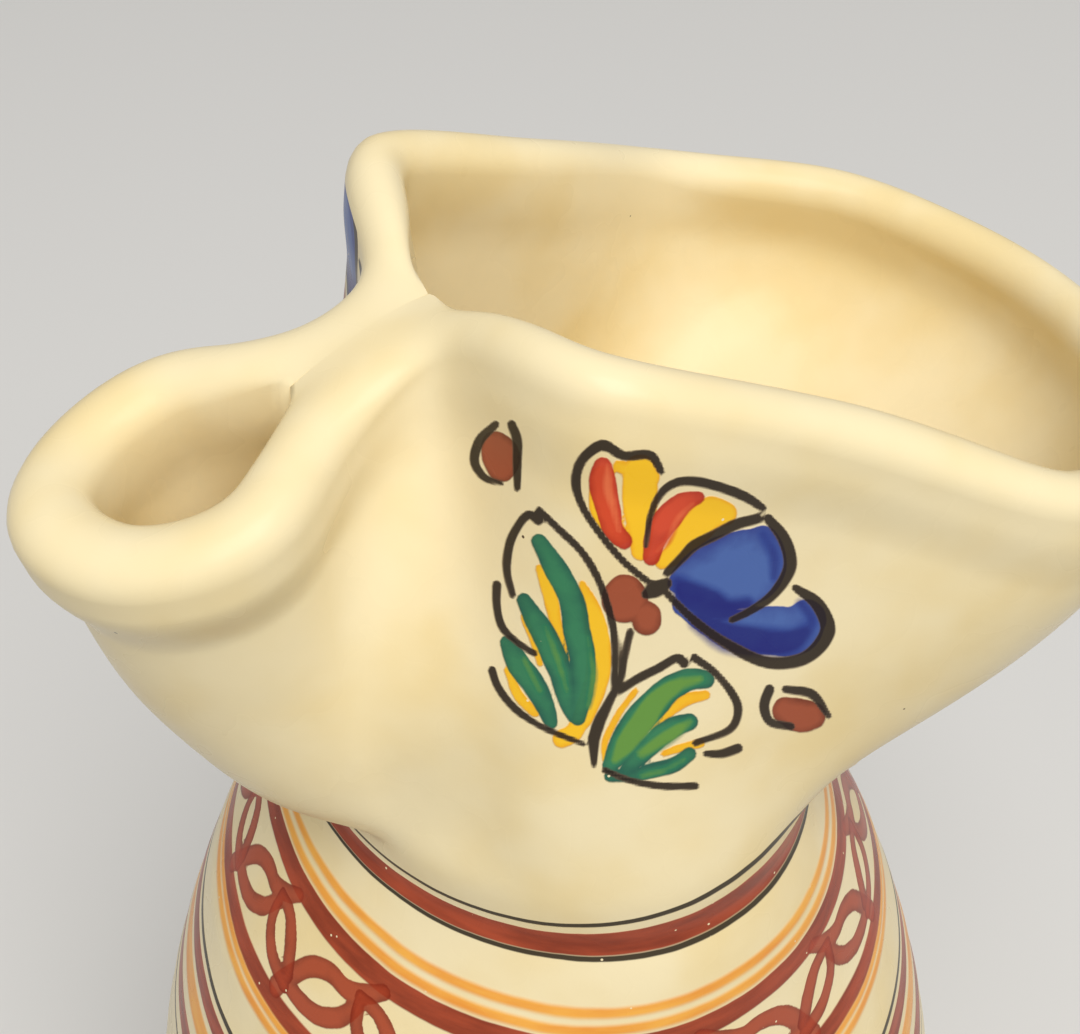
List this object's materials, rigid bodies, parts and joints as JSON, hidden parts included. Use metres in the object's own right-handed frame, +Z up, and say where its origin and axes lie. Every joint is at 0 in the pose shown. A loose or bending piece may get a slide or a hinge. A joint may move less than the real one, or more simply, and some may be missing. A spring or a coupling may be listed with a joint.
{
  "type": "pottery pitcher",
  "caption": "Glazed earthenware pitcher with a pear-shaped body, a flared collar pinched to form a pouring spout, and a strap handle at the back.",
  "frame": {"origin": "centre of the flat base, on the table", "axes": "+Z up along the body's axis, spout along -X, handle along +X"},
  "size_m": [0.1357, 0.112, 0.2147],
  "materials": {
    "body_glaze": "gloss glaze over painted bands",
    "collar_glaze": "gloss glaze over painted flowers",
    "handle_glaze": "gloss glaze"
  },
  "bodies": {
    "root": {"body": "body_glaze", "collar": "collar_glaze", "handle": "handle_glaze"}
  },
  "joints": []
}
